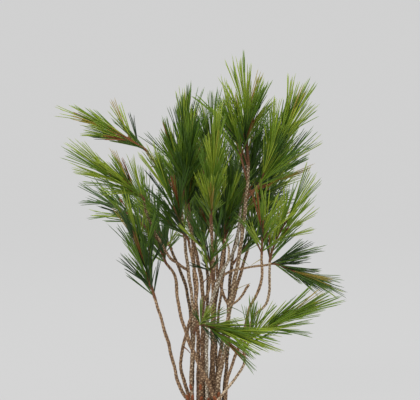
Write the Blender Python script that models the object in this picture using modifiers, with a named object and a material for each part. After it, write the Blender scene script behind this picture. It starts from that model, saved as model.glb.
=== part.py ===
"""A young eastern white pine that grows as a clump.

A low trunk carries many thin limbs, and brushes of long needles stand on their tips and sides.
Every size below is in millimetres, from the middle of the flat cut at ground level, with +Z up.
X runs to the right and Y away from someone who stands in front of the plant.
"""

import itertools
import math
import random
from collections import namedtuple

import bmesh
import bpy
import numpy as np
from mathutils import Matrix, Quaternion, Vector
from mathutils.bvhtree import BVHTree

MM = 0.001
SEED = 20

# Clearance between one piece and the next.
GAP = 0.3
NEEDLE_GAP = 0.5

# The trunk: a low stool, as the radius and height of each corner down its side, to below the cut.
TRUNK_PROFILE = [(0, 37), (22, 35), (36, 27), (41, 15), (47, 4), (50, -8), (0, -8)]
TRUNK_SIDES = 16

# Its roots run out and down, as the distance out, the height and the radius of each point along one.
ROOT_COUNT = 6
ROOT_LINE = [(18, 24, 13), (42, 9, 10), (70, -9, 6.5)]
ROOT_TURN_JITTER = 0.2
ROOT_REACH_JITTER = 0.1

# A collar swells out of the stool under each limb, with a flat top a little wider than the limb.
COLLAR_DEPTH = 26
COLLAR_SWELL = 1.5
COLLAR_LIP = 0.6

# Limbs are six-sided tubes and twigs four-sided ones, with a ring of corners every so often.
LIMB_STEP = 45
TWIG_STEP = 28
LIMB_ROUND = 1
TWIG_ROUND = 0
TWIG_GIRTHS = (2.6, 1.6)
TWIG_LEAD = 5

# A side shoot starts where its flat foot clears its parent, found in short steps at points on the rim.
RIM_POINTS = 24
RIM_STEP = 0.1
SHORTEST_PIECE = 2

# A spray of needles is one flat blade, cut to a narrow root in the twig and three long teeth.
# Each tooth is (its lean to the side, its length), and each notch between two (its offset, its height),
# as shares of the spray's length.
TEETH = [(-0.15, 0.90), (0.01, 1.0), (0.17, 0.93)]
NOTCHES = [(-0.016, 0.30), (0.020, 0.27)]
BLADE_ROOT = 0.012
BLADE_THICKNESS = 1.3
TOOTH_RADIUS = 2.0

# Sprays wind up the twig by the golden angle. They spread wide at its foot and lie close at its tip.
GOLDEN_ANGLE = math.radians(137.508)
TURN_JITTER = 0.25
SPREAD_AT_FOOT = math.radians(50)
SPREAD_AT_TIP = math.radians(13)
SPREAD_FALL = 0.8
SPREAD_JITTER = math.radians(7)
FOOT_SHARE = 0.72
LENGTH_JITTER = 0.13

# A spray that leaves its mass's space or touches something is tried again at these shares of its length.
SHORTER = (1.0, 0.84, 0.68)
SPACE_OVERLAP = 16
OUTER_SHARES = (0.5, 0.75, 1.0)

SHARP_EDGE = math.radians(50)

Limb = namedtuple("Limb", "springs path girths")
Mass = namedtuple("Mass", "springs path sprays length bare")

# Each limb: what it springs from, the points that it passes, and its radius at the foot and the tip.
# A limb that springs from another starts at that share of the other's length.
LIMBS = {
    "west_outer": Limb(
        "trunk",
        [(-27, -15, 40), (-46, -22, 72), (-65, -36, 150), (-89, -46, 235)],
        (3.4, 2.8),
    ),
    "west_bow": Limb(
        "trunk",
        [(-27, 7, 40), (-44, 1, 104), (-33, -10, 167), (-14, -18, 242), (-29, -10, 328)],
        (3.4, 2.6),
    ),
    "west_cross": Limb(
        "trunk",
        [(22, -23, 40), (5, -30, 80), (-24, -35, 144), (-46, -22, 210), (-54, 0, 266), (-69, 10, 288)],
        (4.4, 2.6),
    ),
    "west_tall": Limb(
        "trunk",
        [(-23, -4, 40), (-25, 0, 96), (-20, 5, 187), (-32, 2, 290),
         (-46, -12, 406), (-66, -18, 442), (-103, -25, 492)],
        (3.6, 2.6),
    ),
    "west_side": Limb(
        ("west_tall", 0.51),
        [(-48, -14, 291), (-65, -28, 308), (-97, -44, 368), (-108, -54, 408)],
        (2.6, 2.5),
    ),
    "centre_left": Limb(
        "trunk",
        [(-8, 2, 40), (-5, 6, 100), (-4, 13, 190), (-7, 18, 260), (-33, 30, 380)],
        (5.0, 3.0),
    ),
    "centre_link": Limb(("centre_left", 0.52), [(3, 22, 230), (9, 28, 252), (12, 36, 330)], (2.3, 2.3)),
    "centre": Limb(
        "trunk",
        [(13, 9, 40), (14, 0, 110), (14, -8, 207), (15, -18, 289), (11, -44, 368)],
        (5.2, 2.9),
    ),
    "centre_grey": Limb(
        "trunk",
        [(4, -15, 40), (3, -16, 136), (7, -24, 205), (31, -36, 279), (55, -16, 323), (65, 12, 395)],
        (3.6, 2.6),
    ),
    "centre_spur": Limb(("centre_grey", 0.71), [(43, -34, 319), (35, -42, 338)], (2.1, 1.7)),
    "centre_thin": Limb(
        "trunk",
        [(27, 21, 40), (20, 26, 130), (25, 32, 198), (34, 44, 270), (37, 54, 328)],
        (2.8, 2.4),
    ),
    "centre_back": Limb("trunk", [(10, 26, 40), (16, 48, 180), (28, 74, 270), (40, 95, 343)], (4.2, 3.0)),
    "right_tall": Limb(
        "trunk",
        [(22, -5, 40), (25, -12, 84), (40, -20, 153), (43, -26, 210),
         (61, -34, 309), (75, -24, 424), (77, -18, 468)],
        (4.8, 3.0),
    ),
    "right_fork": Limb(("right_tall", 0.42), [(32, -6, 238), (28, 12, 265), (34, 24, 312)], (2.8, 2.4)),
    "right_stub": Limb(("right_tall", 0.42), [(61, -36, 231), (78, -44, 257)], (1.8, 2.4)),
    "right_dark": Limb(
        "trunk",
        [(34, 8, 40), (41, 14, 131), (44, 24, 232), (54, 36, 320), (76, 66, 379)],
        (3.8, 2.8),
    ),
    "right_inner_bow": Limb(
        "trunk",
        [(37, -10, 40), (41, -16, 85), (68, -28, 165), (78, -36, 210), (99, -48, 260), (100, -54, 311)],
        (3.2, 2.4),
    ),
    "right_outer_bow": Limb(
        "trunk",
        [(16, -38, 40), (37, -43, 68), (68, -44, 112), (70, -42, 150),
         (87, -38, 199), (112, -32, 228), (116, -22, 295)],
        (2.6, 2.3),
    ),
    "right_low_arch": Limb(("centre", 0.66), [(38, 6, 271), (63, 14, 279), (120, 26, 286)], (2.4, 2.0)),
    "back_top": Limb(("centre_back", 0.66), [(20, 82, 330), (15, 84, 430)], (2.8, 2.5)),
    "back_left": Limb(
        "trunk",
        [(-12, 18, 40), (-13, 40, 150), (-20, 74, 260), (-26, 112, 350)],
        (4.2, 3.0),
    ),
    "back_low": Limb("trunk", [(-25, 22, 40), (-23, 52, 130), (-35, 96, 230), (-66, 136, 305)], (3.8, 2.8)),
    "back_far": Limb("trunk", [(-3, 34, 40), (-1, 62, 140), (5, 106, 235), (0, 150, 300)], (3.8, 2.8)),
    "back_right": Limb("trunk", [(17, 38, 40), (32, 58, 140), (60, 88, 240), (85, 120, 320)], (4.0, 2.8)),
}

# Each mass: the limb and the share of its length where its twig springs, the points that the twig passes,
# how many sprays of needles stand on it, their length, and the share of the twig left bare at its foot.
MASSES = {
    "upper_left": Mass(("west_tall", 1), [(-139, -34, 517), (-177, -45, 539)], 14, 90, 0.02),
    "left_upper": Mass(("west_side", 1), [(-131, -70, 430), (-162, -88, 452)], 14, 98, 0.0),
    "left_middle": Mass(("west_side", 0.5), [(-116, -28, 367), (-148, -8, 387), (-170, 6, 399)], 13, 88, 0.3),
    "left_lower": Mass(("west_outer", 1), [(-102, -54, 284), (-119, -68, 342)], 14, 100, 0.0),
    "left_inner": Mass(("west_cross", 1), [(-78, 22, 309), (-88, 36, 330)], 11, 88, 0.0),
    "crown_left": Mass(("centre_left", 1), [(-36, 24, 440), (-35, 14, 513)], 17, 100, 0.05),
    "crown_left_spire": Mass(("west_tall", 0.76), [(-34, -24, 442), (-26, -32, 487)], 12, 90, 0.2),
    "crown_left_low": Mass(("west_bow", 1), [(-46, -34, 370), (-66, -52, 430)], 14, 98, 0.1),
    "crown_front": Mass(("centre", 1), [(12, -70, 417), (17, -98, 479)], 17, 104, 0.05),
    "crown_top": Mass(("right_tall", 1), [(73, -16, 524), (73, -14, 570)], 14, 98, 0.25),
    "crown_top_left": Mass(("right_tall", 0.93), [(58, -24, 505), (46, -30, 540)], 10, 88, 0.35),
    "crown_middle": Mass(("centre_grey", 1), [(80, 28, 448), (92, 42, 492)], 13, 94, 0.1),
    "crown_right": Mass(("right_tall", 0.86), [(108, -34, 452), (142, -44, 534)], 18, 104, 0.2),
    "right_behind": Mass(("right_dark", 1), [(104, 80, 420), (144, 92, 466)], 14, 100, 0.1),
    "right_upper": Mass(("right_inner_bow", 1), [(100, -74, 339), (101, -92, 372)], 14, 98, 0.0),
    "right_middle": Mass(("right_outer_bow", 1), [(127, -26, 335), (154, -30, 386)], 15, 100, 0.0),
    "right_inside": Mass(("right_dark", 0.7), [(74, 48, 316), (96, 70, 340)], 11, 86, 0.2),
    "right_arch": Mass(("right_low_arch", 1), [(147, 38, 280), (176, 52, 266)], 13, 96, 0.0),
    "front_low_left": Mass(("west_tall", 0.27), [(-14, -34, 182), (0, -62, 187), (48, -98, 182)], 14, 102, 0.4),
    "front_low_right": Mass(("right_outer_bow", 0.42), [(90, -62, 172), (146, -85, 207)], 14, 104, 0.1),
    "crown_low": Mass(("centre", 0.68), [(8, -62, 300), (-6, -92, 336)], 13, 98, 0.2),
    "crown_inner": Mass(("right_fork", 1), [(34, 22, 350), (36, 6, 392)], 12, 96, 0.05),
    "crown_heart": Mass(("centre_link", 1), [(8, 34, 375), (6, 24, 424)], 12, 96, 0.05),
    "crown_behind": Mass(("centre_thin", 1), [(44, 60, 370), (50, 66, 412)], 12, 96, 0.05),
    "crown_back": Mass(("centre_back", 1), [(50, 112, 392), (54, 124, 436)], 14, 100, 0.05),
    "back_crown_top": Mass(("back_top", 1), [(12, 82, 478), (12, 78, 518)], 13, 98, 0.05),
    "back_left_brush": Mass(("back_left", 1), [(-34, 138, 400), (-40, 152, 440)], 13, 100, 0.05),
    "back_low_brush": Mass(("back_low", 1), [(-98, 166, 350), (-116, 180, 382)], 13, 98, 0.05),
    "back_far_brush": Mass(("back_far", 1), [(-4, 184, 340), (-8, 204, 374)], 14, 98, 0.05),
    "back_right_brush": Mass(("back_right", 1), [(102, 142, 366), (118, 158, 402)], 14, 100, 0.05),
}

# Each look: the material's name, its colour in linear RGB, and its roughness.
BARK = ("pine bark", (0.185, 0.118, 0.068), 0.85)
NEEDLES = ("pine needles", (0.062, 0.128, 0.022), 0.45)


def clear_scene():
    for obj in list(bpy.data.objects):
        bpy.data.objects.remove(obj)


def material(name, colour, roughness):
    made = bpy.data.materials.get(name)
    if made is None:
        made = bpy.data.materials.new(name)
        made.use_nodes = True
        shader = made.node_tree.nodes["Principled BSDF"]
        shader.inputs["Base Color"].default_value = (*colour, 1)
        shader.inputs["Roughness"].default_value = roughness
        shader.inputs["Metallic"].default_value = 0
    return made


def collection(name):
    made = bpy.data.collections.new(name)
    bpy.context.scene.collection.children.link(made)
    return made


def place(mesh, name, into):
    obj = bpy.data.objects.new(name, mesh)
    into.objects.link(obj)
    return obj


def smooth_path(points, step, leaving=None):
    """Points about step millimetres apart on a smooth curve through these, setting off along leaving."""
    points = [Vector(p) for p in points]
    first = points[1] - points[0]
    before = points[0] - (leaving * first.length if leaving else first)
    after = 2 * points[-1] - points[-2]
    line = [before, *points, after]
    path = []
    for a, b, c, d in zip(line, line[1:], line[2:], line[3:]):
        count = max(1, round((c - b).length / step))
        bend, twist = 2 * a - 5 * b + 4 * c - d, 3 * b - a - 3 * c + d
        for k in range(count):
            t = k / count
            path.append(b + 0.5 * ((c - a) * t + bend * t**2 + twist * t**3))
    return [*path, points[-1]]


def lengths_along(path):
    """How far along the path each of its points lies, as a share of the whole."""
    run = [0.0]
    for a, b in zip(path, path[1:]):
        run.append(run[-1] + (b - a).length)
    return [r / run[-1] for r in run]


def at_share(path, share):
    """(point, direction) at this share of the path's length."""
    runs = lengths_along(path)
    for a, b, low, high in zip(path, path[1:], runs, runs[1:]):
        if share <= high:
            return a.lerp(b, (share - low) / (high - low)), (b - a).normalized()
    return path[-1], (path[-1] - path[-2]).normalized()


def solid_of(curve):
    """A closed mesh of the curve's solid, its caps welded on. The curve is removed."""
    guide = place(curve, curve.name, bpy.context.scene.collection)
    bpy.context.view_layer.update()
    mesh = bpy.data.meshes.new_from_object(guide.evaluated_get(bpy.context.evaluated_depsgraph_get()))
    bpy.data.objects.remove(guide)
    bpy.data.curves.remove(curve)
    shape = bmesh.new()
    shape.from_mesh(mesh)
    bmesh.ops.remove_doubles(shape, verts=shape.verts, dist=0.01 * MM)
    bmesh.ops.recalc_face_normals(shape, faces=shape.faces)
    shape.to_mesh(mesh)
    shape.free()
    return mesh


def tube_mesh(name, path, radii, roundness=LIMB_ROUND):
    """A closed tube along the path, as a mesh."""
    curve = bpy.data.curves.new(name, "CURVE")
    curve.dimensions = "3D"
    curve.bevel_depth = MM
    curve.bevel_resolution = roundness
    curve.use_fill_caps = True
    spline = curve.splines.new("POLY")
    spline.points.add(len(path) - 1)
    for point, place_mm, radius in zip(spline.points, path, radii):
        point.co = (*(place_mm * MM), 1)
        point.radius = radius
    return solid_of(curve)


def tapered(path, girths):
    """The radius at each point of the path."""
    return [girths[0] + (girths[1] - girths[0]) * share for share in lengths_along(path)]


def start_clear_of(parent, path, radius):
    """The path, cut so that its flat foot of this radius stands GAP clear of the parent's mesh."""
    tree = BVHTree.FromPolygons([v.co / MM for v in parent.vertices], [p.vertices for p in parent.polygons])
    heading = (path[1] - path[0]).normalized()
    across = heading.orthogonal().normalized() * radius
    rim = [Vector()] + [Quaternion(heading, math.tau * k / RIM_POINTS) @ across for k in range(RIM_POINTS)]
    out = radius
    while not all(is_clear(tree, path[0] + heading * out + corner) for corner in rim):
        out += RIM_STEP
    start = path[0] + heading * (out + RIM_STEP)
    return [start, *(p for p in path[1:] if (p - start).dot(heading) > SHORTEST_PIECE)]


def is_clear(tree, point):
    """True if the point lies outside the closed mesh of the tree, and GAP or more from it."""
    nearest, normal, _, distance = tree.find_nearest(point)
    return distance > GAP and (point - nearest).dot(normal) > 0


def join(obj, others, name):
    """One solid from obj and the meshes of others, by one union on a collection."""
    group = collection(name + " pieces")
    for other in others:
        group.objects.link(other)
    union = obj.modifiers.new("join", "BOOLEAN")
    union.operation = "UNION"
    union.operand_type = "COLLECTION"
    union.collection = group
    union.solver = "MANIFOLD"
    bpy.context.view_layer.update()
    mesh = bpy.data.meshes.new_from_object(obj.evaluated_get(bpy.context.evaluated_depsgraph_get()))
    obj.modifiers.remove(union)
    obj.data = mesh
    for other in others:
        bpy.data.objects.remove(other)
    bpy.data.collections.remove(group)


def finish(obj, name, look):
    """Gives the object its name, its material and its smooth shading."""
    obj.name = name
    obj.data.name = name
    obj.data.materials.clear()
    obj.data.materials.append(material(*look))
    obj.data.shade_smooth()
    obj.data.set_sharp_from_angle(angle=SHARP_EDGE)


def trunk_stool(into):
    """The turned stool, without its roots and collars."""
    shape = bmesh.new()
    corners = [shape.verts.new((radius * MM, 0, height * MM)) for radius, height in TRUNK_PROFILE]
    for a, b in zip(corners, corners[1:]):
        shape.edges.new((a, b))
    mesh = bpy.data.meshes.new("trunk")
    shape.to_mesh(mesh)
    shape.free()
    stool = place(mesh, "trunk", into)
    turn = stool.modifiers.new("turn", "SCREW")
    turn.steps = turn.render_steps = TRUNK_SIDES
    turn.use_merge_vertices = True
    turn.merge_threshold = 0.01 * MM
    bpy.context.view_layer.update()
    solid = bpy.data.meshes.new_from_object(stool.evaluated_get(bpy.context.evaluated_depsgraph_get()))
    stool.modifiers.clear()
    stool.data = solid
    return stool


def root_flare(into):
    """Low ridges that run out and down from the stool, where the roots enter the ground."""
    draw = random.Random(SEED)
    radii = [radius for _, _, radius in ROOT_LINE]
    ridges = []
    for k in range(ROOT_COUNT):
        angle = math.tau * (k + draw.uniform(-ROOT_TURN_JITTER, ROOT_TURN_JITTER)) / ROOT_COUNT
        stretch = 1 + draw.uniform(-ROOT_REACH_JITTER, ROOT_REACH_JITTER)
        out = Vector((math.cos(angle), math.sin(angle), 0)) * stretch
        path = [out * distance + Vector((0, 0, height)) for distance, height, _ in ROOT_LINE]
        ridges.append(place(tube_mesh(f"root {k}", path, radii), f"root {k}", into))
    return ridges


def collars(paths, into):
    """A short swelling on the stool under each limb, with a flat top for the limb's foot."""
    made = []
    for name, path in paths.items():
        heading = (path[1] - path[0]).normalized()
        lip = LIMBS[name].girths[0] + COLLAR_LIP
        top = path[0] - heading * GAP
        mesh = tube_mesh(name + " collar", [top - heading * COLLAR_DEPTH, top], [lip * COLLAR_SWELL, lip])
        made.append(place(mesh, name + " collar", into))
    return made


def build_trunk(paths, into):
    trunk = trunk_stool(into)
    join(trunk, root_flare(into) + collars(paths, into), "trunk")
    shape = bmesh.new()
    shape.from_mesh(trunk.data)
    cut = bmesh.ops.bisect_plane(
        shape,
        geom=[*shape.verts, *shape.edges, *shape.faces],
        dist=0.001 * MM,
        plane_co=(0, 0, 0),
        plane_no=(0, 0, 1),
        clear_inner=True,
    )
    rim = [e for e in cut["geom_cut"] if isinstance(e, bmesh.types.BMEdge)]
    bmesh.ops.contextual_create(shape, geom=rim)
    bmesh.ops.triangulate(shape, faces=shape.faces)
    bmesh.ops.recalc_face_normals(shape, faces=shape.faces)
    shape.to_mesh(trunk.data)
    shape.free()
    finish(trunk, "trunk", BARK)


def build_limbs(into):
    """{name: (path, radii, object)} of every limb."""
    made = {}
    for name, limb in LIMBS.items():
        if limb.springs == "trunk":
            path = smooth_path(limb.path, LIMB_STEP)
        else:
            parent, share = limb.springs
            start, _ = at_share(made[parent][0], share)
            path = smooth_path([start, *limb.path], LIMB_STEP)
            path = start_clear_of(made[parent][2].data, path, limb.girths[0])
        radii = tapered(path, limb.girths)
        obj = place(tube_mesh(name, path, radii), name, into)
        finish(obj, "limb_" + name, BARK)
        made[name] = (path, radii, obj)
    return made


def build_twig(name, mass, limbs):
    """(path, radii) of the twig that carries a mass."""
    parent, share = mass.springs
    path, radii, obj = limbs[parent]
    start, heading = at_share(path, share)
    thick, thin = TWIG_GIRTHS
    if share == 1:
        foot = start + heading * GAP
        twig = [foot, *smooth_path([foot + heading * TWIG_LEAD, *mass.path], TWIG_STEP, heading)]
        return twig, tapered(twig, (radii[-1], thin))
    twig = start_clear_of(obj.data, smooth_path([start, *mass.path], TWIG_STEP), thick)
    return twig, tapered(twig, (thick, thin))


def segments(path, radii):
    """Rows of start, end and radius, one for each straight piece of a path."""
    return [[*a, *b, max(r, s)] for a, b, r, s in zip(path, path[1:], radii, radii[1:])]


def clearance(a, b, rows):
    """The least distance from segment a-b to each row's segment, less that row's radius."""
    start, end, radius = rows[:, 0:3], rows[:, 3:6], rows[:, 6]
    d1, d2 = b - a, end - start
    r = a - start
    aa, ee = d1 @ d1, np.einsum("ij,ij->i", d2, d2)
    f, c, m = np.einsum("ij,ij->i", d2, r), r @ d1, d2 @ d1
    bottom = np.maximum(aa * ee - m * m, 1e-9)
    s = np.clip((m * f - c * ee) / bottom, 0, 1)
    t = np.clip((m * s + f) / ee, 0, 1)
    s = np.clip((m * t - c) / aa, 0, 1)
    gap = (a + s[:, None] * d1) - (start + t[:, None] * d2)
    return np.sqrt(np.einsum("ij,ij->i", gap, gap)) - radius


def needle_sprays(mass, twig, own_axis, other_axes, taken, draw):
    """(matrix, teeth) of each spray on this twig that keeps to its mass's space and clear of all taken."""
    sprays = []
    for k in range(mass.sprays):
        along = (k + 0.5) / mass.sprays
        root, heading = at_share(twig, mass.bare + (1 - mass.bare) * along)
        side = heading.orthogonal().normalized()
        side.rotate(Quaternion(heading, k * GOLDEN_ANGLE + draw.uniform(-TURN_JITTER, TURN_JITTER)))
        lean = SPREAD_AT_FOOT + (SPREAD_AT_TIP - SPREAD_AT_FOOT) * along**SPREAD_FALL
        lean += draw.uniform(-SPREAD_JITTER, SPREAD_JITTER)
        way = heading * math.cos(lean) + side * math.sin(lean)
        turn = way.to_track_quat("Z", "Y") @ Quaternion((0, 0, 1), draw.uniform(0, math.pi))
        full = mass.length * (FOOT_SHARE + (1 - FOOT_SHARE) * along)
        full *= 1 + draw.uniform(-LENGTH_JITTER, LENGTH_JITTER)
        for shorter in SHORTER:
            size = full * shorter
            teeth = [(root, root + turn @ Vector((offset, 0, reach)) * size) for offset, reach in TEETH]
            if all(tooth_is_free(*tooth, own_axis, other_axes, taken) for tooth in teeth):
                sprays.append((Matrix.LocRotScale(root * MM, turn, (size * MM, MM, size * MM)), teeth))
                break
    return sprays


def tooth_is_free(root, tip, own_axis, other_axes, taken):
    if not in_own_space(root, tip, own_axis, other_axes):
        return False
    return clearance(np.array(root), np.array(tip), taken).min() > TOOTH_RADIUS + NEEDLE_GAP


def in_own_space(root, tip, own_axis, other_axes):
    """True if no point of the tooth's outer half is more than SPACE_OVERLAP nearer to another twig."""
    for share in OUTER_SHARES:
        point = np.array(root.lerp(tip, share))
        own = clearance(point, point + 1e-3, own_axis).min()
        if own > clearance(point, point + 1e-3, other_axes).min() + SPACE_OVERLAP:
            return False
    return True


def spray_mesh():
    """The flat blade with its teeth, one unit long, which every spray of needles shares."""
    outline = [(-BLADE_ROOT, 0), *itertools.chain(*itertools.zip_longest(TEETH, NOTCHES)), (BLADE_ROOT, 0)]
    outline = [corner for corner in outline if corner]
    curve = bpy.data.curves.new("spray", "CURVE")
    curve.dimensions = "2D"
    curve.fill_mode = "BOTH"
    curve.extrude = BLADE_THICKNESS / 2
    spline = curve.splines.new("POLY")
    spline.use_cyclic_u = True
    spline.points.add(len(outline) - 1)
    for point, (offset, reach) in zip(spline.points, outline):
        point.co = (offset, reach, 0, 1)
    mesh = solid_of(curve)
    mesh.transform(Matrix.Rotation(math.radians(90), 4, "X"))
    return mesh


def build_masses(limbs, into):
    twigs = {name: build_twig(name, mass, limbs) for name, mass in MASSES.items()}
    rows = {name: np.array(segments(*twig)) for name, twig in twigs.items()}
    limb_rows = np.array([row for path, radii, _ in limbs.values() for row in segments(path, radii)])
    needle_rows = {name: np.empty((0, 7)) for name in MASSES}
    blade = spray_mesh()
    for name, mass in MASSES.items():
        others = [rows[n] for n in MASSES if n != name]
        needles = [needle_rows[n] for n in MASSES if n != name]
        taken = np.concatenate([limb_rows, *others, *needles])
        draw = random.Random(f"{SEED} {name}")
        sprays = needle_sprays(mass, twigs[name][0], rows[name], np.concatenate(others), taken, draw)
        teeth = [tooth for _, teeth in sprays for tooth in teeth]
        needle_rows[name] = np.array([[*root, *tip, TOOTH_RADIUS] for root, tip in teeth])
        twig = place(tube_mesh(name, *twigs[name], TWIG_ROUND), name, into)
        pieces = []
        for k, (matrix, _) in enumerate(sprays):
            piece = place(blade, f"{name} spray {k}", into)
            piece.matrix_world = matrix
            pieces.append(piece)
        join(twig, pieces, name)
        finish(twig, "needles_" + name, NEEDLES)


def main():
    clear_scene()
    parts = collection("eastern white pine")
    limbs = build_limbs(parts)
    from_trunk = {name: made[0] for name, made in limbs.items() if LIMBS[name].springs == "trunk"}
    build_trunk(from_trunk, parts)
    build_masses(limbs, parts)


main()
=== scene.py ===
import math
from collections import namedtuple

import bmesh
import bpy
import numpy as np
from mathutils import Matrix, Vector


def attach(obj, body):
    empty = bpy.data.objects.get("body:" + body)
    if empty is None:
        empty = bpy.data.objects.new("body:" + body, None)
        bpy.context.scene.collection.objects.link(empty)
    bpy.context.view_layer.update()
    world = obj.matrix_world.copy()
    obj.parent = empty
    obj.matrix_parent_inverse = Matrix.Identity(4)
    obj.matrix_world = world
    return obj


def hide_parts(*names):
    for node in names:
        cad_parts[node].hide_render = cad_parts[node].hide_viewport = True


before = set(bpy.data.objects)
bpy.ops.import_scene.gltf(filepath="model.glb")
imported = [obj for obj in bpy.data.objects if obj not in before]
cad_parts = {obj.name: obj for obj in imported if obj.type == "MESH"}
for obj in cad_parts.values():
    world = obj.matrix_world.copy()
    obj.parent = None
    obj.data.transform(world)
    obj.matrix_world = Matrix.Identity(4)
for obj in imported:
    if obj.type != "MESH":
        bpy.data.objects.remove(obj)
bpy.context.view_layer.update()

MM = 0.001
SEED = 20
GOLDEN_ANGLE = math.radians(137.508)

# Stems: a ring of corners at every step, and a foot that starts inside what carries the stem. The
# kinks are the small bends of a grown stem, and the swellings its small changes of girth, each with
# its size and wave.
BARK_STEP = 1.1
BARK_SIDES = 16
LIMB_SINK = 7
NEAR_KINK, NEAR_KINK_WAVE = 0.45, 27.0
FAR_KINK, FAR_KINK_WAVE = 0.65, 47.0
SWELLINGS = ((0.05, 17.0, 0.0), (0.03, 7.3, 1.0))

# Leaf-scar pegs that wind up the bark, each a rounded ledge that stands between the least and the
# whole of the height. The reach is how many pegs below and above a ring can raise it. The mean
# relief is taken off, so that the stem keeps its girth. Bark lower than the ridge level, as a share
# of the tallest peg, lies between the scars and is darker, partly as painted shade in the hollows.
PEG_PITCH = 1.35
PEG_LENGTH = 1.9
PEG_WIDTH = 2.7
PEG_HEIGHT = 0.85
PEG_FALL = 1.6
PEG_LEAST = 0.6
PEG_REACH = 5
PEG_TURN_JITTER = 1.0
MEAN_RELIEF = 0.45
RIDGE_LEVEL = 0.32

# Twigs inside the masses, their side shoots and their buds.
TWIG_SINK = 3
TWIG_LEAD = 5
TWIG_SIDES = 8
TWIG_STEP = 2.0
TWIG_GIRTHS = (2.3, 1.3)
TWIG_PEG_HEIGHT = 0.35
SIDE_SHOOTS = 2
SIDE_FIRST, SIDE_REACH = 0.08, 0.55
SIDE_GIRTHS = (1.5, 1.0)
SIDE_SHARE = 0.42
SIDE_SHARE_RANGE = (0.75, 1.05)
SIDE_LEAN = math.radians(24)
SIDE_BEND = 0.25
SIDE_RISE = (0, 0, 0.08)
SIDE_WANDER = 0.03
SIDE_FASCICLES = 9
SIDE_BARE = 0.12
SIDE_NEEDLE_SHARE = 0.9
BUD_LENGTHS = (7, 10)
BUD_SINK = 1
BUD_RADII = (1.1, 1.6, 1.9, 1.95, 1.8, 1.5, 1.1, 0.6, 0.12)

# Fascicles wind up each shoot, leaning far out at its foot and close in at its tip, and a few stray
# further. The needles at the foot have the foot share of the full length.
FASCICLES_PER_SPRAY = 2.5
SPREAD_AT_FOOT = math.radians(36)
SPREAD_AT_TIP = math.radians(12)
SPREAD_FALL = 0.75
SPREAD_JITTER = math.radians(9)
STRAY_SHARE = 0.1
STRAY_SPREAD = math.radians(16)
TURN_JITTER = 0.5
FOOT_SHARE = 0.74
LENGTH_JITTER = 0.17

# Needles: five to a fascicle. A ring is a share of the needle's length and of its radius. The real
# needle is about 1 mm thick, and is drawn thicker so that it shows at the photograph's size. Its
# curl and droop are shares of its length.
NEEDLES_IN_FASCICLE = 5
NEEDLE_CORNERS = 3
NEEDLE_RADIUS = 0.85
NEEDLE_RINGS = ((0.0, 0.75), (0.06, 1.0), (0.3, 1.0), (0.55, 0.95), (0.78, 0.85), (0.93, 0.65))
NEEDLE_TURN_JITTER = 0.4
NEEDLE_LENGTH_RANGE = (0.9, 1.03)
SPLAY = math.radians(3.5)
SPLAY_RANGE = (0.25, 1.0)
CURL = 0.06
CURL_WANDER = CURL * 0.5
CURL_OUT_SHARE = 0.4
DROOP = 0.02

# Dead twigs, caught needles and flakes of bark. A flake is rows of three points, each row a share
# of its width, and it lifts away from the stem towards its upper end.
DEAD_TWIG_GIRTHS = (1.3, 0.6)
DEAD_TWIG_PEG_HEIGHT = 0.3
CAUGHT_NEEDLE_GIRTHS = (NEEDLE_RADIUS, NEEDLE_RADIUS * 0.4)
FLAKE_LENGTH, FLAKE_WIDTH, FLAKE_THICKNESS = 11, 6, 0.5
FLAKE_ROWS = (0.55, 1.0, 0.9, 0.4)
FLAKE_COLUMNS = (-1, 0, 1)
FLAKE_GAP, FLAKE_LIFT, FLAKE_ARCH = 0.3, 1.6, 0.6

# The trunk's bark: a fine mesh with plates, finer plates on them, and cracks between. What stands
# above a plate's level rises from the solid's surface, and what lies below it sinks. A crack's
# width is a share of its plate's size. What is lower than the trunk's foot lies flat on the ground.
TRUNK_VOXEL = 1.3
TRUNK_SMOOTHINGS, TRUNK_SMOOTHING = 6, 0.5
TRUNK_FOOT = 1.2
PLATE_SIZE = 11
PLATE_STRETCH = (1, 1, 0.55)
PLATE_RELIEF = 1.1
PLATE_LEVEL = 0.8
FINE_SIZE = PLATE_SIZE / 2.6
FINE_STRETCH = (1, 1, 0.4)
FINE_RELIEF_SHARE = 0.35
FINE_LEVEL = 0.7
FINE_SHIFT = 40
CRACK_WIDTH = 0.35
CRACK_LEVEL = 0.45
BEYOND_ANY_CRACK = 9.0

# A heading with at least this upward share is squared with the x axis, and any other with the z
# axis.
NEARLY_UPRIGHT = 0.9

# Numbers that scatter repeatable chances over whole numbers.
SCATTER_SIZE = 43758.5453
PEG_SCATTER = (12.9898, 78.233)
PLATE_SCATTER = (127.1, 311.7, 74.7)
PLATE_SALTS = (0.0, 1.7, 3.1)

# The studio, in metres and watts. The floor's profile is its radius and height, from the middle
# out, and each lamp has its place, its side and its power.
FLOOR_PROFILE = ((0, 0), (5.5, 0), (7, 0.15), (8.2, 0.7), (8.8, 1.6), (9.0, 3.2))
FLOOR_STEPS = 64
FLOOR_WELD = 1e-5
PAPER_COLOUR = "#404040"
PAPER_GLOW_COLOUR = "#d1d1d1"
PAPER_GLOW = 0.945
WORLD_LIGHT = 0.55
LAMPS = {
    "key": ((-1.6, -2.2, 2.6), 1.6, 62),
    "fill": ((2.4, -1.8, 1.4), 2.0, 18),
    "top": ((0.2, 0.8, 3.0), 1.8, 40),
}

# The photograph's viewpoint: three degrees down, 2.3 m away, and 1.8 mm to a pixel.
VIEW_AIM = Vector((9, 0, 405)) * MM
VIEW_DISTANCE = 2.3
VIEW_DOWN = math.radians(3)
PHOTO_WIDTH = 420
MM_PER_PIXEL = 1.8
SENSOR = 36
VIEW_END = 100

Limb = namedtuple("Limb", "springs path girths")
Mass = namedtuple("Mass", "springs path sprays length bare")
Style = namedtuple("Style", "mix density spread")

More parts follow.
